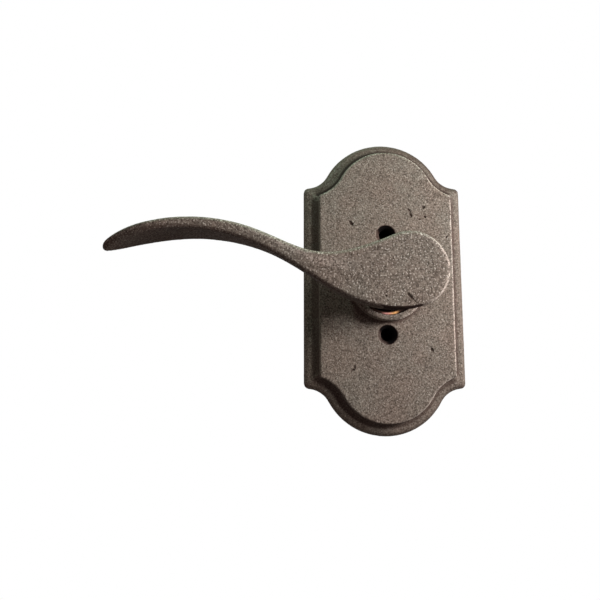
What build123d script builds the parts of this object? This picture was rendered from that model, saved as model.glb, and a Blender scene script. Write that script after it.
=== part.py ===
from build123d import *
import os
from math import cos, radians, sin, sqrt, tan

# Dummy door lever: a cast bronze wave lever, fixed in an arched escutcheon plate.
# The door's face is the plane Y = 0, and the lever stands out from it towards -Y.
# The origin is on the hub's axis, and a depth is a distance in front of the door.

os.makedirs("parts", exist_ok=True)

# Escutcheon plate: outline
plate_width = 73.0
plate_height = 134.4
shoulder_height = 93.0
arch_radius = 29.0
scoop_radius = 11.0

# Escutcheon plate: section
rim_depth = 3.2
rim_edge_chamfer = 1.8
ledge_corner_radius = 0.6
field_depth = 11.0
field_edge_chamfer = 0.4
border_width = 6.7
cove_radius = 4.2
side_wall = 2.4
plate_wall = 3.2
hollow_chamfer = 2.0
hollow_corner_radius = 3.0

# Collar in front of the plate, and the hub behind it
collar_diameter = 32.6
collar_depth = 16.5
collar_lip = 2.7
collar_edge_chamfer = 0.5
hub_wall = 3.6
hub_depth = 5.2

# Screw holes through the plate
screw_spacing = 44.45
screw_hole_diameter = 5.6
countersink_diameter = 8.8
countersink_angle = 90.0
screw_boss_wall = 2.7

# Lever seen from the front: reach to the left of the hub's axis, rise above it
lever_reach = 112.8
tip_rise = 11.8
tip_thickness = 3.4
tip_slope = 0.36
crest_reach = 78.0
crest_rise = 18.6
crest_thickness = 3.6
grip_crown = 1.2
fall_reach = 53.0
fall_rise = 14.0
fall_thickness = 5.4
waist_reach = 31.9
waist_rise = 6.7
waist_thickness = 10.7
throat_reach = 23.0
throat_drop = 9.1
paddle_radius = 13.8
paddle_shift = 0.4
paddle_lift = 0.6
paddle_top_angle = 112.0
paddle_bottom_angle = 287.0

# Lever seen from above: how deep each stretch is, back from its front edge
blank_margin = 2.0
paddle_depth = 57.0
paddle_thickness = 9.0
paddle_flat = 24.0
neck_reach = 42.0
neck_breadth = 7.8
swell_reach = 56.0
swell_breadth = 14.8
grip_reach = 89.0
grip_breadth = 22.6
sweep_reach = 97.0
sweep_setback = 0.6
nose_setback = 12.8
lever_edge_chamfer = 0.9
most_edge_share = 0.3

# Shank of the lever
shank_diameter = 20.0
shank_root_chamfer = 1.5
journal_diameter = 23.4
journal_stand = 0.8
drive_diameter = 18.0
drive_flats = 15.5
shank_end_depth = 0.4

# Bushing pressed into the collar
bushing_recess = 5.0
bushing_chamfer = 0.5
press_clearance = 0.02
running_clearance = 0.15

# Locking plate and its screws, on the back
locking_plate_thickness = 1.5
locking_plate_height = 27.0
locking_plate_margin = 4.5
locking_plate_play = 0.9
locking_screw_diameter = 3.0
locking_screw_engagement = 4.0
locking_head_diameter = 5.5
locking_head_height = 1.6
locking_slot_width = 0.8
locking_slot_depth = 0.7
locking_head_chamfer = 0.5
locking_boss_wall = 2.5
screw_clearance = 0.1

# Washer and retaining ring on the end of the shank
washer_thickness = 0.8
washer_diameter = 24.0
ring_thickness = 1.2
ring_width = 2.4
ring_opening = 44.0
ring_lug_diameter = 3.4
ring_eye_diameter = 1.4
groove_step = 0.9
groove_clearance = 0.05

# What follows from the sizes above
corner_radius = rim_edge_chamfer + ledge_corner_radius
hollow_depth = field_depth - plate_wall
seat_width = border_width + side_wall
bore_diameter = collar_diameter - 2 * collar_lip
hub_diameter = bore_diameter + 2 * hub_wall
bushing_depth = collar_depth - bushing_recess
journal_depth = bushing_depth + journal_stand
locking_plate_back = hub_depth - locking_plate_thickness
locking_plate_end = plate_width / 2 - seat_width - locking_plate_play
locking_screw_offset = locking_plate_end - locking_plate_margin
washer_back = locking_plate_back - washer_thickness
ring_back = washer_back - ring_thickness
groove_diameter = drive_diameter - 2 * groove_step
screw_places = [Pos(0, side * screw_spacing / 2) for side in (1, -1)]
locking_screw_places = [Pos(side * locking_screw_offset, 0) for side in (1, -1)]


def front_plane(depth):
    """The plane parallel to the door at this depth, with X to the right and Z up."""
    return Plane((0, -depth, 0), x_dir=(1, 0, 0), z_dir=(0, -1, 0))


def raised(sketch, back, front):
    """A sketch drawn as seen from the front, extruded from one depth to another."""
    return extrude(front_plane(back) * sketch, amount=front - back)


def front_edges(solid):
    """The edges round the foremost face of a solid."""
    return solid.faces().sort_by(Axis.Y)[0].edges()


def arched_outline():
    """The plate's outline: two straight sides, and at each end an arch between two scoops."""
    side = plate_width / 2
    shoulder = shoulder_height / 2
    arch_centre = Vector(0, plate_height / 2 - arch_radius)
    corner = Vector(side, shoulder)
    run = (corner - arch_centre).length
    along = (corner - arch_centre).normalized()
    across = Vector(-along.Y, along.X)
    reach = arch_radius + scoop_radius
    foot = (reach**2 - scoop_radius**2 + run**2) / (2 * run)
    scoop_centre = arch_centre + along * foot + across * sqrt(reach**2 - foot**2)
    to_arch = (arch_centre - scoop_centre).normalized()
    to_corner = (corner - scoop_centre).normalized()
    meet = scoop_centre + to_arch * scoop_radius
    middle = scoop_centre + (to_arch + to_corner).normalized() * scoop_radius
    edges = []
    for end in (1, -1):
        edges += [
            ThreePointArc((side, end * shoulder), (middle.X, end * middle.Y), (meet.X, end * meet.Y)),
            ThreePointArc((meet.X, end * meet.Y), (0, end * plate_height / 2), (-meet.X, end * meet.Y)),
            ThreePointArc((-meet.X, end * meet.Y), (-middle.X, end * middle.Y), (-side, end * shoulder)),
            Line((end * side, -shoulder), (end * side, shoulder)),
        ]
    return make_face(edges)


def rounded_shoulders(outline, radius):
    """An arched outline with its outermost corners rounded."""
    return fillet(outline.vertices().group_by(lambda corner: abs(corner.X))[-1], radius)


def cast_plate():
    """Rim, coved border and raised field, with the collar in front and a hollow back."""
    outline = arched_outline()
    rim = raised(rounded_shoulders(outline, corner_radius), 0, rim_depth)
    rim = chamfer(front_edges(rim), rim_edge_chamfer)
    field = raised(offset(outline, -border_width, kind=Kind.INTERSECTION), 0, field_depth)
    plate = rim + field
    plate = fillet(new_edges(rim, field, combined=plate), cove_radius)
    plate = chamfer(front_edges(plate), field_edge_chamfer)
    collar = raised(Circle(collar_diameter / 2), hollow_depth, collar_depth)
    plate += chamfer(front_edges(collar), collar_edge_chamfer)

    hollow_outline = offset(outline, -seat_width, kind=Kind.INTERSECTION)
    hollow = raised(rounded_shoulders(hollow_outline, hollow_corner_radius), 0, hollow_depth)
    hollow = chamfer(front_edges(hollow), hollow_chamfer)
    hollow -= raised(Circle(hub_diameter / 2), hub_depth, field_depth)
    for place in locking_screw_places:
        boss = place * Circle(locking_screw_diameter / 2 + locking_boss_wall)
        hollow -= raised(boss, hub_depth, field_depth)
    for place in screw_places:
        boss = place * Circle(screw_hole_diameter / 2 + screw_boss_wall)
        hollow -= raised(boss, 0, field_depth)
    plate -= hollow

    plate -= raised(Circle(bore_diameter / 2), 0, collar_depth)
    sink_depth = (countersink_diameter - screw_hole_diameter) / 2 / tan(radians(countersink_angle / 2))
    sink = Cone(screw_hole_diameter / 2, countersink_diameter / 2, sink_depth)
    for place in screw_places:
        plate -= raised(place * Circle(screw_hole_diameter / 2), 0, field_depth)
        plate -= front_plane(field_depth - sink_depth / 2) * place * sink
    for place in locking_screw_places:
        hole = place * Circle(locking_screw_diameter / 2 + screw_clearance)
        plate -= raised(hole, hub_depth, hub_depth + locking_screw_engagement + screw_clearance)
    return plate


def front_outline(crown):
    """The lever seen from the front, from the tip over the crest and round the paddle."""
    paddle_centre = Vector(paddle_shift, paddle_lift)

    def paddle_point(angle):
        return paddle_centre + Vector(cos(radians(angle)), sin(radians(angle))) * paddle_radius

    def paddle_course(angle):
        return Vector(sin(radians(angle)), -cos(radians(angle)))

    end = -lever_reach - tip_thickness
    end_rise = tip_rise - tip_thickness * tip_slope
    top = Spline(
        (end, end_rise),
        (-crest_reach, crest_rise + crown),
        (-fall_reach, fall_rise + crown / 2),
        (-waist_reach, waist_rise),
        paddle_point(paddle_top_angle),
        tangents=((1, tip_slope), paddle_course(paddle_top_angle)),
        tangent_scalars=(1, 1),
    )
    paddle = ThreePointArc(top @ 1, paddle_point(0), paddle_point(paddle_bottom_angle))
    underside = Spline(
        paddle @ 1,
        (-throat_reach, -throat_drop),
        (-waist_reach, waist_rise - waist_thickness),
        (-fall_reach, fall_rise - fall_thickness),
        (-crest_reach, crest_rise - crest_thickness),
        (end, end_rise - tip_thickness),
        tangents=(paddle_course(paddle_bottom_angle), (-1, -tip_slope)),
        tangent_scalars=(1, 1),
    )
    return make_face([top, paddle, underside, Line(underside @ 1, top @ 0)])


def top_outline():
    """The lever seen from above, with its front towards -Y."""
    front = -paddle_depth
    beyond = 2 * paddle_radius
    blade_edge = Spline(
        (-paddle_flat, front),
        (-crest_reach, front),
        (-sweep_reach, front + sweep_setback),
        (-lever_reach, front + nose_setback),
        (-grip_reach, front + grip_breadth),
        (-swell_reach, front + swell_breadth),
        (-neck_reach, front + neck_breadth),
        (-paddle_flat, front + paddle_thickness),
        tangents=((-1, 0), (1, 0)),
        tangent_scalars=(1, 1),
    )
    paddle_end = Polyline(blade_edge @ 1, (beyond, front + paddle_thickness), (beyond, front), blade_edge @ 0)
    return make_face([blade_edge, paddle_end])


def drive_section(clearance):
    """The shank's end: a circle with a flat on each side."""
    size = drive_diameter + 2 * clearance
    return Circle(size / 2) & Rectangle(drive_flats + 2 * clearance, size)


def cast_lever():
    """Paddle, neck and grip as one casting, with the turned shank on the paddle's back."""
    room = grip_breadth / 2 + blank_margin
    middle_depth = paddle_depth - grip_breadth / 2
    slab = loft([
        front_plane(middle_depth - room) * front_outline(0),
        front_plane(middle_depth) * front_outline(grip_crown),
        front_plane(middle_depth + room) * front_outline(0),
    ])
    height = 2 * (crest_rise + paddle_radius)
    column = extrude(Pos(0, 0, -height / 2) * top_outline(), amount=height)
    blade = slab & column
    edge_chamfer = min(lever_edge_chamfer, most_edge_share * tip_thickness)
    blade = chamfer(new_edges(slab, column, combined=blade), edge_chamfer)

    shank = raised(Circle(shank_diameter / 2), journal_depth, paddle_depth - paddle_thickness / 2)
    lever = blade + shank
    lever = chamfer(new_edges(blade, shank, combined=lever), shank_root_chamfer)
    lever += raised(Circle(journal_diameter / 2), hub_depth, journal_depth)
    lever += raised(drive_section(0), shank_end_depth, hub_depth)
    groove = Circle(drive_diameter / 2 + groove_step) - Circle(groove_diameter / 2)
    lever -= raised(groove, ring_back - groove_clearance, washer_back)
    return lever


def turned_bushing():
    """A plain sleeve in the collar, chamfered where the shank goes in."""
    sleeve = Circle(bore_diameter / 2 - press_clearance) - Circle(journal_diameter / 2 + running_clearance)
    bushing = raised(sleeve, hub_depth, bushing_depth)
    mouth = front_edges(bushing).sort_by(SortBy.RADIUS)[0]
    return chamfer(mouth, bushing_chamfer)


def stamped_locking_plate():
    """A lozenge of sheet steel that keeps the shank's flats from turning."""
    middle = Circle(locking_plate_height / 2)
    ends = [place * Circle(locking_plate_margin) for place in locking_screw_places]
    blank = make_hull([edge for face in (middle, *ends) for edge in face.edges()])
    blank -= drive_section(running_clearance)
    for place in locking_screw_places:
        blank -= place * Circle(locking_screw_diameter / 2 + screw_clearance)
    return raised(blank, locking_plate_back, hub_depth)


def locking_screws():
    """Two slotted screws through the locking plate into the bosses behind the field."""
    head_back = locking_plate_back - locking_head_height
    screws = []
    for place in locking_screw_places:
        head = raised(place * Circle(locking_head_diameter / 2), head_back, locking_plate_back)
        head = chamfer(head.faces().sort_by(Axis.Y)[-1].edges(), locking_head_chamfer)
        slot = place * Rectangle(locking_head_diameter, locking_slot_width)
        head -= raised(slot, head_back, head_back + locking_slot_depth)
        stem = place * Circle(locking_screw_diameter / 2)
        screws.append(head + raised(stem, locking_plate_back, hub_depth + locking_screw_engagement))
    return Compound(screws)


def thrust_washer():
    """A flat washer between the locking plate and the retaining ring."""
    section = Circle(washer_diameter / 2) - Circle(drive_diameter / 2 + running_clearance)
    return raised(section, washer_back, locking_plate_back)


def retaining_ring():
    """An open ring in the shank's groove, with an eye at each end for the pliers."""
    inner = groove_diameter / 2 + groove_clearance
    ring = Circle(inner + ring_width) - Circle(inner)
    reach = 2 * (inner + ring_width)
    half = radians(ring_opening / 2)
    ring -= make_face(Polyline(
        (0, 0), (-reach * sin(half), -reach * cos(half)), (reach * sin(half), -reach * cos(half)), close=True))
    lug_radius = inner + ring_lug_diameter / 2
    lug_places = [Pos(side * lug_radius * sin(half), -lug_radius * cos(half)) for side in (1, -1)]
    for place in lug_places:
        ring += place * Circle(ring_lug_diameter / 2)
    for place in lug_places:
        ring -= place * Circle(ring_eye_diameter / 2)
    return raised(ring, ring_back, washer_back)


export_step(cast_plate(), "parts/escutcheon_plate.step")
export_step(cast_lever(), "parts/lever_handle.step")
export_step(turned_bushing(), "parts/collar_bushing.step")
export_step(stamped_locking_plate(), "parts/locking_plate.step")
export_step(locking_screws(), "parts/locking_plate_screws.step")
export_step(thrust_washer(), "parts/thrust_washer.step")
export_step(retaining_ring(), "parts/retaining_ring.step")
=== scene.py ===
from math import cos, radians, sin

import bmesh
import bpy
import numpy as np
from mathutils import Matrix, Vector, noise


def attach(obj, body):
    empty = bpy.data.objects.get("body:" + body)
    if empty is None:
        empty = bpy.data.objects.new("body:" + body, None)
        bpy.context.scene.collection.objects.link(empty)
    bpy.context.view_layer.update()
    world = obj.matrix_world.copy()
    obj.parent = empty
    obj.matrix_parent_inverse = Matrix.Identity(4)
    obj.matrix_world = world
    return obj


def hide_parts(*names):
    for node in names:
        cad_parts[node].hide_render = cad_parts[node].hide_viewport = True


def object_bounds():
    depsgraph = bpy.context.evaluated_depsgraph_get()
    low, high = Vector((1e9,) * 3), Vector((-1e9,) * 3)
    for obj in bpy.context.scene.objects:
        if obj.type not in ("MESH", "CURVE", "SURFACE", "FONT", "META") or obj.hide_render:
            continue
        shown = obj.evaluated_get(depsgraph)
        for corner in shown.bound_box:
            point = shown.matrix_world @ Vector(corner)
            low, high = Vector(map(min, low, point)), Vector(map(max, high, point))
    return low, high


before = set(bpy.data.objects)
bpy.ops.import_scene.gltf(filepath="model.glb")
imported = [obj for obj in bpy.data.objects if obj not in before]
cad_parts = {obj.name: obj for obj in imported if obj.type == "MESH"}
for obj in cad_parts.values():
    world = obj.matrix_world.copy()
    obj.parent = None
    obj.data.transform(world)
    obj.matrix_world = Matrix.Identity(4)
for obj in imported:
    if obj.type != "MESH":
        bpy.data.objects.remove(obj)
cad_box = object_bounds()

# Escutcheon plate: one heavy sand casting in bronze, arched at both ends, with a coved border.
# The front keeps the grain of the sand and a few gas pits, and is patinated a dark brown.
# Countersunk wood screws above and below the collar hold it to the door.
mm = 0.001
# Sizes are in millimetres. A depth such as field_depth is how far a face stands out from the door.
plate_mesh_step = 0.5
weld_distance = 0.001
plate_softening = 2
plate_back_share = 0.7
plate_waviness = 0.05
plate_wave_length = 9.0
plate_grain = 0.035
grain_length = 1.5
plate_fleck_and_glint_share = 0.50
field_depth = 11.0
plate_worn_and_lit_depth = 9.0
screw_height = 22.225
screw_hole_radius = 2.8
screw_clear_radius = 4.6
sink_floor = 9.5
bore_clear_radius = 13.8
seat_clear_depth = 0.5
corner_rounds = 8
cove_rounds = 24
plate_pits = [
    {"at": (-15.5, 27.4), "size": (1.45, 0.65), "turn": -50, "depth": 0.9},
    {"at": (-16.3, 28.2), "size": (0.55, 0.45), "turn": 20, "depth": 0.5},
    {"at": (17.2, 34.8), "size": (0.85, 0.60), "turn": 30, "depth": 0.9},
    {"at": (17.8, 30.5), "size": (0.70, 0.50), "turn": -20, "depth": 0.8},
    {"at": (10.6, 33.6), "size": (0.95, 0.50), "turn": -40, "depth": 0.5},
    {"at": (11.4, 31.4), "size": (1.25, 0.50), "turn": -65, "depth": 0.7},
    {"at": (15.3, 29.3), "size": (0.45, 0.40), "turn": 0, "depth": 0.5},
    {"at": (19.2, -28.7), "size": (0.95, 0.65), "turn": -60, "depth": 0.9},
    {"at": (-15.4, -37.4), "size": (0.90, 0.50), "turn": 20, "depth": 0.7},
    {"at": (-14.7, -36.2), "size": (1.00, 0.40), "turn": 80, "depth": 0.6},
    {"at": (27.2, 21.3), "size": (0.60, 0.45), "turn": 60, "depth": 0.6},
]


def apply_modifiers(piece):
    """Keep what a piece's modifiers make of its mesh."""
    shaped = piece.evaluated_get(bpy.context.evaluated_depsgraph_get())
    piece.data = bpy.data.meshes.new_from_object(shaped)
    piece.modifiers.clear()


def cast_copy(node, name, step):
    """A close, even mesh over a node's solid, in millimetres."""
    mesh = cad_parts[node].data.copy()
    mesh.transform(Matrix.Scale(1 / mm, 4))
    mesh.materials.clear()
    piece = bpy.data.objects.new(name, mesh)
    bpy.context.collection.objects.link(piece)
    welder = bmesh.new()
    welder.from_mesh(mesh)
    bmesh.ops.remove_doubles(welder, verts=welder.verts, dist=weld_distance)
    welder.to_mesh(mesh)
    welder.free()
    remesh = piece.modifiers.new("even mesh", "REMESH")
    remesh.mode = "VOXEL"
    remesh.voxel_size = step
    apply_modifiers(piece)
    return piece


def read_points(mesh, what="co"):
    """The places or normals of a mesh's points, a row each."""
    values = np.empty(len(mesh.vertices) * 3)
    mesh.vertices.foreach_get(what, values)
    return values.reshape(-1, 3)


def write_points(mesh, points):
    """Put a mesh's points at these places."""
    mesh.vertices.foreach_set("co", points.ravel())
    mesh.update()


def neighbour_mean(mesh):
    """A function that turns values at a mesh's points into the means over each point's neighbours."""
    ends = np.empty(len(mesh.edges) * 2, int)
    mesh.edges.foreach_get("vertices", ends)
    here = ends
    there = ends.reshape(-1, 2)[:, ::-1].ravel()
    size = len(mesh.vertices)
    count = np.bincount(here, minlength=size)

    def mean(values):
        return np.stack([np.bincount(here, column[there], size) / count for column in values.T], axis=1)

    return mean


def ease(piece, rounds, weight=1.0):
    """Round a casting's edges: each round moves its points up to half way to their neighbours' mean."""
    share = 0.5 * np.reshape(weight, (-1, 1))
    mean = neighbour_mean(piece.data)
    points = read_points(piece.data)
    for _ in range(rounds):
        points += share * (mean(points) - points)
    write_points(piece.data, points)


def thin_back(piece, share):
    """Use fewer, larger faces where a casting faces the door."""
    square_on = 0.9
    hidden = np.nonzero(read_points(piece.data, "normal")[:, 1] > square_on)[0]
    group = piece.vertex_groups.new(name="back")
    group.add(hidden.tolist(), 1.0, "REPLACE")
    thin = piece.modifiers.new("fewer faces", "DECIMATE")
    thin.ratio = share
    thin.vertex_group = group.name
    apply_modifiers(piece)
    piece.vertex_groups.clear()


def refine_round_pits(piece, pits, depth):
    """Split the faces round the pits, so that their edges and floors have enough points."""
    surround = 1.6
    margin = 0.5
    points = read_points(piece.data)
    near = np.zeros(len(points), bool)
    for pit in pits:
        centre = (pit["at"][0], -depth, pit["at"][1])
        near |= np.linalg.norm(points - centre, axis=1) < surround * max(pit["size"]) + margin
    refiner = bmesh.new()
    refiner.from_mesh(piece.data)
    split = [e for e in refiner.edges if all(near[v.index] for v in e.verts)]
    bmesh.ops.subdivide_edges(refiner, edges=split, cuts=2, use_grid_fill=True)
    bmesh.ops.triangulate(refiner, faces=[f for f in refiner.faces if len(f.verts) > 4])
    refiner.to_mesh(piece.data)
    refiner.free()


def relief(piece, rounds):
    """How far each point stands out of its surroundings, which are wider with more rounds."""
    mean = neighbour_mean(piece.data)
    points = read_points(piece.data)
    around = points
    for _ in range(rounds):
        around = mean(around)
    height = ((points - around) * read_points(piece.data, "normal")).sum(axis=1)
    return mean(height[:, None])[:, 0]


def facing(piece, rounds):
    """Which way the surroundings of each point face."""
    normals = read_points(piece.data, "normal")
    mean = neighbour_mean(piece.data)
    for _ in range(rounds):
        normals = mean(normals)
    return normals


def rising(values, low, high):
    """0 below low and 1 above high, and even in between."""
    return np.clip((values - low) / (high - low), 0, 1)


def falling(values, low, high):
    """1 below low and 0 above high, and even in between."""
    return 1 - rising(values, low, high)


def noise_at(points, length):
    """Smooth noise from about -1 to 1, whose lumps are about this long."""
    return np.array([noise.noise(Vector(p / length)) for p in points])


def pit_depths(points, pits, depth):
    """How far each point is sunk by the pits, which have ragged, slanting outlines."""
    reach = 4
    raggedness = 0.9
    rag_length = 0.5
    sunk = np.zeros(len(points))
    for pit in pits:
        turn = radians(pit["turn"])
        across = points[:, 0] - pit["at"][0]
        up = points[:, 2] - pit["at"][1]
        near = np.nonzero(np.hypot(across, up) + np.abs(points[:, 1] + depth) < reach)[0]
        ragged = 1 + raggedness * noise_at(points[near], rag_length)
        along = (across[near] * cos(turn) + up[near] * sin(turn)) / pit["size"][0]
        aside = (up[near] * cos(turn) - across[near] * sin(turn)) / pit["size"][1]
        inside = np.clip(1 - (along**2 + aside**2) * ragged, 0, 1)
        sunk[near] = np.maximum(sunk[near], pit["depth"] * np.sqrt(inside))
    return sunk


def rubbed_and_lit_edges(piece, worn_and_lit_depth):
    """How much the edges that face right are made paler, in front of a depth: wear, and a painted highlight
    on the side towards the key lamp.
    """
    edge_rounds = 6
    edge_relief = (0.04, 0.13)
    turned_right = (0.05, 0.5)
    # Painted highlight: only edges that face right, towards the key lamp, are made paler.
    facing_right = rising(read_points(piece.data, "normal")[:, 0], *turned_right)
    in_reach = read_points(piece.data)[:, 1] < -worn_and_lit_depth
    return rising(relief(piece, edge_rounds), *edge_relief) * facing_right * in_reach


def mark(piece, name, values):
    """Keep a value at each point of a piece for its material."""
    piece.data.attributes.new(name, "FLOAT", "POINT").data.foreach_set("value", values)


def finish_casting(piece, skin, rubbed, patina_and_shade, worn_and_lit_depth, waviness, wave_length, grain, pits, depth):
    """Mark edges made paler by wear and painted highlight, and places made dark by patina and painted
    shade, make the skin uneven, sink the pits, and return to metres.
    """
    hollow_relief = (0.04, 0.14)
    dark_pit_depth = (0.05, 0.35)
    points = read_points(piece.data)
    normals = read_points(piece.data, "normal")
    sunk = pit_depths(points, pits, depth)
    # Hollows, creases and pits are darkened: patina in them, and painted shade.
    hollow = rising(-relief(piece, corner_rounds), *hollow_relief)
    broad_hollow = rising(-relief(piece, cove_rounds), *hollow_relief) * (points[:, 1] > -worn_and_lit_depth)
    in_pit = rising(sunk, *dark_pit_depth)
    # Paler edges: wear, and a painted highlight.
    mark(piece, "edge_wear_and_highlight", rubbed * skin)
    mark(piece, "recess_and_shade", np.maximum.reduce([hollow, broad_hollow, patina_and_shade, in_pit]))
    swell = waviness * noise_at(points, wave_length) + grain * noise_at(points, grain_length)
    points += normals * (swell * skin)[:, None]
    points[:, 1] += sunk
    write_points(piece.data, points * mm)
    piece.data.polygons.foreach_set("use_smooth", [True] * len(piece.data.polygons))


def from_hub(points):
    """How far points are from the hub's axis."""
    return np.hypot(points[:, 0], points[:, 2])


def from_screws(points):
    """How far points are from the axis of the nearer screw hole."""
    return np.hypot(points[:, 0], np.abs(points[:, 2]) - screw_height)


def plate_skin(piece):
    """1 on the cast skin, and 0 on the ground seat, in the bore and in the drilled holes."""
    points = read_points(piece.data)
    machined = (from_hub(points) < bore_clear_radius) | (from_screws(points) < screw_clear_radius)
    return np.where(machined | (points[:, 1] > -seat_clear_depth), 0.0, 1.0)


def hole_shade_and_light(points):
    """How much painted shade darkens the screw holes, with a painted lit side at the lower left of each
    sink, where the key lamp from the upper right falls.
    """
    full = 2.0
    lit_side_by = 0.8
    lit_side_way = (-0.85, -0.5)
    lit_side_reach = (0.5 * screw_hole_radius, 0.9 * screw_hole_radius)
    below_rim = (0.02, 0.2)
    from_axis = points[:, 2] - screw_height * np.sign(points[:, 2])
    leftward = lit_side_way[0] * points[:, 0] + lit_side_way[1] * from_axis
    # Painted light: the lower left wall of each sink is paler, as if lit by the key lamp.
    lit_side = rising(leftward, *lit_side_reach) * (points[:, 1] < -sink_floor)
    in_hole = rising(points[:, 1] + field_depth, *below_rim) * (from_screws(points) < screw_clear_radius)
    # Painted shade: the rest of each hole goes black.
    return in_hole * (full - lit_side_by * lit_side)


def border_patina_and_shade(piece):
    """How much the border is darkened, partly patina and partly painted shade: most on its top, some in its
    creases and at its bottom.
    """
    on_top = 1.15
    more_in_top_crease = 0.5
    in_side_crease = 1.3
    at_bottom = 0.5
    border_start = (0.05, 1)
    field_edge_end = (1, 2)
    facing_rounds = 12
    sloping = (0.10, 0.4)
    shoulder_lean = 0.4
    shoulder_sloping = (0.05, 0.3)
    crease_relief = (-0.03, 0.05)
    behind_field = read_points(piece.data)[:, 1] + field_depth
    field_edge = falling(behind_field, *field_edge_end)
    crease = rising(-relief(piece, cove_rounds), *crease_relief)
    rightward, _, upward = facing(piece, facing_rounds).T
    top = rising(upward, *sloping) * (on_top + more_in_top_crease * np.maximum(field_edge, crease))
    shoulder = rising(shoulder_lean * rightward + upward, *shoulder_sloping)
    side_crease = in_side_crease * crease * (1 - field_edge) * shoulder
    bottom = at_bottom * rising(-upward, *sloping)
    return rising(behind_field, *border_start) * np.maximum.reduce([top, side_crease, bottom])


def plate_patina_and_shade(piece):
    """How dark the plate is made, by patina and by painted shade, where 1 is brown and 2 is black."""
    in_bore = 2.0
    points = read_points(piece.data)
    # Painted shade: the plate's bore in the collar is black.
    bore_shade = in_bore * (from_hub(points) < bore_clear_radius)
    return np.maximum.reduce([hole_shade_and_light(points), bore_shade, border_patina_and_shade(piece)])


class Socket:
    """A shader value that takes part in Python expressions, each of which adds its Math node."""

    def __init__(self, tree, output):
        self.tree = tree
        self.output = output

    def math(self, operation, *values):
        """A Math node on these values."""
        return self.node("ShaderNodeMath", {"operation": operation}, dict(enumerate(values)))

    def node(self, kind, settings=None, sockets=None, output=0):
        """Any node: its settings are set first, then the values or links of its sockets."""
        made = self.tree.nodes.new(kind)
        for name, value in (settings or {}).items():
            setattr(made, name, value)
        for name, value in (sockets or {}).items():
            if isinstance(value, Socket):
                self.tree.links.new(value.output, made.inputs[name])
            else:
                made.inputs[name].default_value = value
        return Socket(self.tree, made.outputs[output])

    def __add__(self, other):
        return self.math("ADD", self, other)

    def __sub__(self, other):
        return self.math("SUBTRACT", self, other)

    def __mul__(self, other):
        return self.math("MULTIPLY", self, other)

    def __rsub__(self, other):
        return self.math("SUBTRACT", other, self)

    __radd__ = __add__
    __rmul__ = __mul__


def blank_material(name):
    """A new material, its shader node, and the place on the surface in millimetres."""
    material = bpy.data.materials.new(name)
    material.use_nodes = True
    shader = material.node_tree.nodes["Principled BSDF"]
    start = Socket(material.node_tree, None)
    place = start.node("ShaderNodeTexCoord", output="Object")
    place = place.node("ShaderNodeVectorMath", {"operation": "SCALE"}, {"Vector": place, "Scale": 1 / mm})
    return material, shader, place


def noise_value(place, length, detail=2.0, rough=0.5):
    """Noise from 0 to 1 whose lumps are about this many millimetres long."""
    sockets = {"Vector": place, "Scale": 1 / length, "Detail": detail, "Roughness": rough}
    return place.node("ShaderNodeTexNoise", None, sockets, output="Fac")


def stretch(value, low, high):
    """The value taken from low to high onto 0 to 1, and held there outside."""
    sockets = {"Value": value, "From Min": low, "From Max": high}
    return value.node("ShaderNodeMapRange", {"clamp": True}, sockets, output="Result")


# The sockets of a Mix node that takes colours.
mix_share = 0
mix_first = 6
mix_second = 7
mix_result = 2


def blended(share, first, second):
    """Two colours mixed by a share, where 1 gives the second."""
    sockets = {mix_share: share, mix_first: first, mix_second: second}
    return share.node("ShaderNodeMix", {"data_type": "RGBA"}, sockets, output=mix_result)


def tinted(colour, tint):
    """A colour multiplied by another."""
    settings = {"data_type": "RGBA", "blend_type": "MULTIPLY"}
    sockets = {mix_share: 1.0, mix_first: colour, mix_second: tint}
    return colour.node("ShaderNodeMix", settings, sockets, output=mix_result)


def bumped(height, strength, depth):
    """The normal of a surface with this height, whose full range is a depth in millimetres."""
    sockets = {"Height": height, "Strength": strength, "Distance": depth * mm}
    return height.node("ShaderNodeBump", None, sockets, output="Normal")


def wire(node, **sockets):
    """Link or set the sockets of a node, such as a material's shader."""
    for name, value in sockets.items():
        socket = node.inputs[name.replace("_", " ")]
        if isinstance(value, Socket):
            value.tree.links.new(value.output, socket)
        else:
            socket.default_value = value


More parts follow.
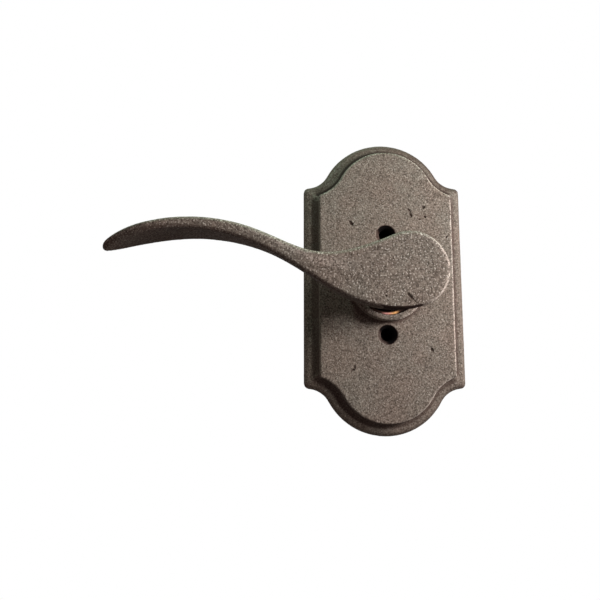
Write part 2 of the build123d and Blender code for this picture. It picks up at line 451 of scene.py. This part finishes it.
def sand_cast_bronze(name, fleck_and_glint_share):
    """Patinated bronze with the grain of the sand: pale flecks on brown, painted paler as facets catching
    light, edges paler with wear and painted highlight, and recesses dark with patina and painted shade.
    """
    hollow_brown = (0.070, 0.056, 0.046, 1)
    peak_brown = (0.270, 0.230, 0.192, 1)
    fleck_and_glint_grey = (0.520, 0.475, 0.420, 1)
    rubbed_and_lit_bronze = (0.640, 0.565, 0.500, 1)
    patina_and_shade_brown = (0.056, 0.033, 0.028, 1)
    painted_shade_black = (0.006, 0.005, 0.005, 1)
    warm_patina = (1.0, 0.95, 0.91, 1)
    cool_patina = (0.97, 1.0, 0.97, 1)
    rubbed_and_lit_share = 0.95
    patina_and_shade_share = 0.6
    dull_gloss = 0.01
    material, shader, place = blank_material(name)
    grain = noise_value(place, length=0.70, detail=2.0, rough=0.6)
    flecks = noise_value(place, length=0.62, detail=1.0, rough=0.5)
    patches = noise_value(place, length=16.0, detail=3.0, rough=0.6)
    rubbed = place.node("ShaderNodeAttribute", {"attribute_name": "edge_wear_and_highlight"}, output="Fac")
    rubbed = rubbed * stretch(grain, low=0.38, high=0.60)
    recess_and_shade = place.node("ShaderNodeAttribute", {"attribute_name": "recess_and_shade"}, output="Fac")
    colour = blended(stretch(grain, low=0.30, high=0.70), hollow_brown, peak_brown)
    # Pale flecks: the sand's grain, painted paler as small facets catching light.
    colour = blended(fleck_and_glint_share * stretch(flecks, low=0.58, high=0.70), colour, fleck_and_glint_grey)
    # Paler where rubbed: wear, and painted highlight.
    colour = blended(rubbed_and_lit_share * rubbed, colour, rubbed_and_lit_bronze)
    # Darker where marked: patina, and painted shade.
    colour = blended(patina_and_shade_share * recess_and_shade, colour, patina_and_shade_brown)
    # Painted shade: black where the mark passes 1.
    colour = blended(recess_and_shade - 1, colour, painted_shade_black)
    colour = tinted(colour, blended(stretch(patches, low=0.35, high=0.65), warm_patina, cool_patina))
    roughness = 0.80 - 0.15 * grain - 0.2 * rubbed
    sand_normal = bumped(grain + 0.5 * flecks, strength=0.6, depth=0.25)
    wire(shader, Base_Color=colour, Roughness=roughness, Normal=sand_normal, Specular_IOR_Level=dull_gloss)
    return material


plate = cast_copy("escutcheon_plate", "plate_casting", plate_mesh_step)
ease(plate, plate_softening)
thin_back(plate, plate_back_share)
refine_round_pits(plate, plate_pits, field_depth)
# The plate's rubbed edges carry a painted highlight, and its dark marks are patina and painted shade.
finish_casting(
    plate,
    skin=plate_skin(plate),
    rubbed=rubbed_and_lit_edges(plate, plate_worn_and_lit_depth),
    patina_and_shade=plate_patina_and_shade(plate),
    worn_and_lit_depth=plate_worn_and_lit_depth,
    waviness=plate_waviness,
    wave_length=plate_wave_length,
    grain=plate_grain,
    pits=plate_pits,
    depth=field_depth,
)
plate.data.materials.append(sand_cast_bronze("plate_bronze", plate_fleck_and_glint_share))
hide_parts("escutcheon_plate")
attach(plate, "root")

# Lever handle: paddle, neck and curved grip in one bronze casting with the shank behind it.
# It has the plate's grain and patina; the end of the shank is turned to fit the bushing.
# The shank passes through the collar, and its flats keep it from turning.
lever_mesh_step = 0.4
lever_softening = 2
lever_top_softening = 36
lever_facing_rounds = 2
lever_waviness = 0.06
lever_wave_length = 11.0
lever_grain = 0.04
# The lever gets more pale flecks than the plate, painted lighter as where more light falls.
lever_fleck_and_glint_share = 1.00
paddle_depth = 57.0
lever_worn_and_lit_depth = 30.0
blade_back = 30.0
collar_shade_depth = 24.0
turned_depth = 13.0
turned_fade = 4.0
shank_clear_radius = 12.5
lever_pits = [
    {"at": (-0.6, -9.3), "size": (1.45, 0.5), "turn": -52, "depth": 0.7},
    {"at": (-0.1, -10.1), "size": (0.6, 0.4), "turn": -30, "depth": 0.5},
    {"at": (1.0, -11.1), "size": (1.3, 0.22), "turn": -50, "depth": 0.3},
    {"at": (-9.1, -9.3), "size": (0.40, 0.35), "turn": 0, "depth": 0.4},
]


def soft_top(piece):
    """Where the top edge of the blade is well rounded, from the paddle to where the grip begins."""
    turned_up = (0.1, 0.4)
    grip_start = (-70, -45)
    points = read_points(piece.data)
    upper = rising(facing(piece, lever_facing_rounds)[:, 2], *turned_up) * rising(points[:, 0], *grip_start)
    return upper * (points[:, 1] < -blade_back)


def lever_skin(piece):
    """1 on the cast skin, fading to 0 on the turned end of the shank."""
    return rising(-read_points(piece.data)[:, 1], turned_depth, turned_depth + turned_fade)


def lever_painted_shade(piece):
    """How much painted shade darkens the lever: some under and behind the blade and towards the tip, more
    under the paddle and on the shank towards the collar.
    """
    under_blade = 0.8
    under_paddle = 1.6
    behind_blade = 0.5
    on_shank = 1.0
    more_in_collar = 0.8
    tip = (-105, -60)
    tip_lean = 0.25
    turned_under = (0.30, 0.42)
    paddle_radius = shank_clear_radius + 4
    paddle_end = (3, 7)
    paddle_thickness = (12, 16)
    points = read_points(piece.data)
    along = points[:, 0]
    hub_distance = from_hub(points)
    downward = tip_lean * falling(along, *tip) - facing(piece, lever_facing_rounds)[:, 2]
    under = np.where(hub_distance < paddle_radius, under_paddle, under_blade)
    under = under * rising(downward, *turned_under) * falling(along, *paddle_end)
    in_collar = rising(points[:, 1], -collar_shade_depth, -turned_depth)
    shank = on_shank + more_in_collar * in_collar
    behind = np.where(hub_distance < shank_clear_radius, shank, behind_blade)
    return np.maximum(under, behind * rising(points[:, 1] + paddle_depth, *paddle_thickness))


def neck_highlight(piece):
    """How much painted highlight lies in a band along the front of the neck, a little above its middle, in
    the colour of rubbed bronze.
    """
    strength = 0.42
    left_end = (-62, -50)
    right_end = (-30, -18)
    band_foot = (0.50, 0.62)
    band_top = (0.72, 0.84)
    turned_front = (0.2, 0.5)
    points = read_points(piece.data)
    along = points[:, 0]
    station = np.floor(along - along.min()).astype(int)
    top = np.full(station.max() + 1, -np.inf)
    np.maximum.at(top, station, points[:, 2])
    bottom = np.full(station.max() + 1, np.inf)
    np.minimum.at(bottom, station, points[:, 2])
    height = (points[:, 2] - bottom[station]) / (top[station] - bottom[station])
    band = rising(height, *band_foot) * falling(height, *band_top)
    band = band * rising(along, *left_end) * falling(along, *right_end)
    return strength * band * rising(-facing(piece, lever_facing_rounds)[:, 1], *turned_front)


lever = cast_copy("lever_handle", "lever_casting", lever_mesh_step)
ease(lever, lever_softening)
ease(lever, lever_top_softening, soft_top(lever))
refine_round_pits(lever, lever_pits, paddle_depth)
# The lever's dark marks are painted shade, and its rubbed edges and neck band carry a painted highlight.
finish_casting(
    lever,
    skin=lever_skin(lever),
    rubbed=np.maximum(rubbed_and_lit_edges(lever, lever_worn_and_lit_depth), neck_highlight(lever)),
    patina_and_shade=lever_painted_shade(lever),
    worn_and_lit_depth=lever_worn_and_lit_depth,
    waviness=lever_waviness,
    wave_length=lever_wave_length,
    grain=lever_grain,
    pits=lever_pits,
    depth=paddle_depth,
)
lever.data.materials.append(sand_cast_bronze("lever_bronze", lever_fleck_and_glint_share))
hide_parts("lever_handle")
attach(lever, "root")


# Bushing: a plain bronze sleeve pressed into the collar, which carries the shank.
# It is turned all over and has tarnished; the shank rubs the foot of its mouth, and a glint is painted
# there.
def coordinate(place, axis):
    """One coordinate of the place on a surface."""
    return place.node("ShaderNodeSeparateXYZ", None, {"Vector": place}, output=axis)


def distance(place):
    """How far a place is from the origin."""
    return place.node("ShaderNodeVectorMath", {"operation": "LENGTH"}, {0: place}, output="Value")


def turned_bronze():
    """Tarnished bronze with the fine rings of turning, and a painted glint, pink to yellow, at the foot of
    the mouth.
    """
    dark_tarnish = (0.020, 0.012, 0.010, 1)
    brown_tarnish = (0.045, 0.024, 0.016, 1)
    glint_pink = (0.78, 0.34, 0.30, 1)
    glint_yellow = (0.82, 0.42, 0.16, 1)
    foot_height = (-9.0, -10.0)
    foot_left = (-2.8, -1.0)
    foot_right = (5.3, 3.6)
    mouth_radius = (12.5, 12.8)
    foot_glint = 0.6
    ring_closeness = 30.0
    material, shader, place = blank_material("turned_bronze")
    across, depth, height = (coordinate(place, axis) for axis in "XYZ")
    flat_place = place.node("ShaderNodeVectorMath", {"operation": "MULTIPLY"}, {0: place, 1: (1, 0, 1)})
    radius = distance(flat_place)
    rings = radius.math("SINE", (radius + depth) * ring_closeness)
    blotch = noise_value(place, length=3.0, detail=3.0, rough=0.6)
    at_foot = stretch(height, *foot_height) * stretch(across, *foot_left) * stretch(across, *foot_right)
    # Painted glint: the foot of the mouth is bright, pink at the left and yellow at the right.
    polish_and_glint = foot_glint * at_foot * stretch(radius, *mouth_radius)
    glint_colour = blended(stretch(across, low=0.0, high=2.5), glint_pink, glint_yellow)
    tarnish = blended(stretch(blotch, low=0.35, high=0.7), dark_tarnish, brown_tarnish)
    colour = blended(polish_and_glint, tarnish, glint_colour)
    roughness = 0.42 + 0.2 * blotch - 0.2 * polish_and_glint
    ring_normal = bumped(rings, strength=0.2, depth=0.02)
    wire(shader, Base_Color=colour, Roughness=roughness, Metallic=1.0, Normal=ring_normal)
    return material


def dress(node, material):
    """Give a node that keeps its solid this material."""
    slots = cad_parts[node].data.materials
    slots.clear()
    slots.append(material)


dress("collar_bushing", turned_bronze())


# Locking plate, thrust washer and locking screws: zinc plated steel on the back of the hub.
# The lozenge is stamped from sheet, slips over the shank's flats and is held by two screws.
# The washer lies behind it, under the retaining ring.
def zinc_plated_steel():
    """Grey zinc plating with a faint spangle and rolling marks."""
    dark_zinc = (0.46, 0.47, 0.48, 1)
    pale_zinc = (0.60, 0.60, 0.58, 1)
    spangles_per_mm = 0.6
    material, shader, place = blank_material("zinc_plated_steel")
    cells = {"Vector": place, "Scale": spangles_per_mm}
    spangle = place.node("ShaderNodeTexVoronoi", {"feature": "F1"}, cells, output="Color")
    tone = spangle.node("ShaderNodeSeparateColor", None, {"Color": spangle})
    marks = noise_value(place, length=1.2, detail=4.0, rough=0.7)
    colour = blended(tone, dark_zinc, pale_zinc)
    roughness = 0.30 + 0.25 * marks
    rolled_normal = bumped(marks, strength=0.15, depth=0.05)
    wire(shader, Base_Color=colour, Roughness=roughness, Metallic=0.9, Normal=rolled_normal)
    return material


plated_steel = zinc_plated_steel()
for node in ("locking_plate", "thrust_washer", "locking_plate_screws"):
    dress(node, plated_steel)


# Retaining ring: an open ring of spring steel, stamped, blackened and lightly oiled.
# It snaps into the groove at the end of the shank and holds the lever in the plate.
def blackened_spring_steel():
    """Blue-black oxide with a slight oily gloss and paler rubbed spots."""
    blue_black = (0.028, 0.029, 0.032, 1)
    rubbed_grey = (0.12, 0.115, 0.11, 1)
    material, shader, place = blank_material("blackened_spring_steel")
    rubbed = noise_value(place, length=1.0, detail=4.0, rough=0.65)
    colour = blended(stretch(rubbed, low=0.55, high=0.8), blue_black, rubbed_grey)
    roughness = 0.35 + 0.2 * rubbed
    rubbed_normal = bumped(rubbed, strength=0.2, depth=0.05)
    wire(shader, Base_Color=colour, Roughness=roughness, Metallic=0.7, Normal=rubbed_normal)
    return material


dress("retaining_ring", blackened_spring_steel())

# Floor: a plain pale disc well below the part, which keeps a soft shadow.
# To the camera it is nearly as white as the background.
floor_radius = 600
floor_drop = 400
floor_grey = (0.5, 0.5, 0.5, 1)
floor_whiteness = 0.93
floor_fade = (0.25 * floor_radius, 0.95 * floor_radius)
white = (1, 1, 1, 1)
matt = 0.9
rim_points = 96


def disc(name, radius):
    """A flat round sheet, facing up."""
    mesh = bpy.data.meshes.new(name)
    maker = bmesh.new()
    bmesh.ops.create_circle(maker, cap_ends=True, segments=rim_points, radius=radius * mm)
    maker.to_mesh(mesh)
    maker.free()
    sheet = bpy.data.objects.new(name, mesh)
    bpy.context.collection.objects.link(sheet)
    return sheet


def mixed_look(material, share, first, second):
    """Make a material show a mix of two shaders, where a share of 1 shows the second."""
    look = share.node("ShaderNodeMixShader", None, {0: share, 1: first, 2: second})
    wire(material.node_tree.nodes["Material Output"], Surface=look)


floor = disc("floor", floor_radius)
floor.location = (0, 0, cad_box[0][2] - floor_drop * mm)
floor_paint, floor_shader, floor_place = blank_material("pale_floor")
wire(floor_shader, Base_Color=floor_grey, Roughness=matt)
seen = floor_place.node("ShaderNodeLightPath", output="Is Camera Ray")
glow = seen.node("ShaderNodeEmission", None, {"Color": white, "Strength": 1.0})
lit = Socket(floor_paint.node_tree, floor_shader.outputs["BSDF"])
whiteness = floor_whiteness + (1 - floor_whiteness) * stretch(distance(floor_place), *floor_fade)
mixed_look(floor_paint, whiteness * seen, lit, glow)
floor.data.materials.append(floor_paint)

# Door: a small patch of its face behind each screw hole, painted near black for the shade behind the plate.
# It closes the view through the holes from the front, and its back can be seen through.
patch_radius = 7.0
patch_gap = 0.3
door_shade_black = (0.012, 0.010, 0.009, 1)
door_paint, door_shader, door_place = blank_material("door_face")
wire(door_shader, Base_Color=door_shade_black, Roughness=matt, Specular_IOR_Level=0.0)
facing_away = door_place.node("ShaderNodeNewGeometry", output="Backfacing")
nothing = door_place.node("ShaderNodeBsdfTransparent")
face = Socket(door_paint.node_tree, door_shader.outputs["BSDF"])
mixed_look(door_paint, facing_away, face, nothing)
for height in (screw_height, -screw_height):
    patch = disc("door_patch", patch_radius)
    patch.location = (0, patch_gap * mm, height * mm)
    patch.rotation_euler = (radians(90), 0, 0)
    patch.data.materials.append(door_paint)

# Light: a white surround for the eye and for reflections, with a weak warm fill,
# a soft lamp close by at the right, a smaller one in front, a greenish one above and one behind.
fill_strength = 0.110
fill_colour = (1.0, 0.70, 0.70, 1)
surround = bpy.data.worlds.new("surround")
bpy.context.scene.world = surround
surround.use_nodes = True
sky = Socket(surround.node_tree, None)
white_rays = sky.node("ShaderNodeLightPath", output="Is Camera Ray")
for kind in ("Is Glossy Ray", "Is Transmission Ray"):
    white_rays = white_rays.math("MAXIMUM", white_rays, sky.node("ShaderNodeLightPath", output=kind))
sky_strength = white_rays.math("MAXIMUM", white_rays, fill_strength)
sky_colour = blended(white_rays, fill_colour, white)
wire(surround.node_tree.nodes["Background"], Strength=sky_strength, Color=sky_colour)


def soft_lamp(name, place, target, size, power, colour):
    """A square area lamp at a place, turned to a target, both in millimetres."""
    light = bpy.data.lights.new(name, "AREA")
    light.size = size * mm
    light.energy = power
    light.color = colour
    lamp = bpy.data.objects.new(name, light)
    lamp.location = Vector(place) * mm
    aim = Vector(target) - Vector(place)
    lamp.rotation_euler = aim.to_track_quat("-Z", "Y").to_euler()
    bpy.context.collection.objects.link(lamp)


soft_lamp("key_lamp", place=(156, -126, 42), target=(-10, -10, 0),
          size=70, power=0.515, colour=(1.0, 0.965, 0.99))
soft_lamp("front_lamp", place=(90, -285, 45), target=(-20, -20, 0),
          size=60, power=0.25, colour=(1.0, 0.975, 0.97))
soft_lamp("top_lamp", place=(-42, -20, 200), target=(-40, -35, 0),
          size=40, power=0.42, colour=(0.66, 1.0, 0.86))
soft_lamp("back_lamp", place=(90, 240, 110), target=(0, 0, 0),
          size=120, power=0.6, colour=(1.0, 0.97, 0.94))

# Camera: in front of the lever, a little below the hub and looking slightly up.
# Its picture is shifted a little, as one that was cut out of a larger one.
camera_place = Vector((-41.66, -230.94, -24.77))
camera_aim = Vector((0.0133, 0.9928, 0.1188))
camera_data = bpy.data.cameras.new("camera")
camera_data.sensor_width = 36.0
camera_data.lens = 30.14
camera_data.shift_x = 0.0013
camera_data.shift_y = -0.0325
camera_data.clip_start = 0.01
camera = bpy.data.objects.new("camera", camera_data)
camera.location = camera_place * mm
camera.rotation_euler = camera_aim.to_track_quat("-Z", "Y").to_euler()
bpy.context.collection.objects.link(camera)
bpy.context.scene.camera = camera
bpy.context.scene.view_settings.view_transform = "Standard"
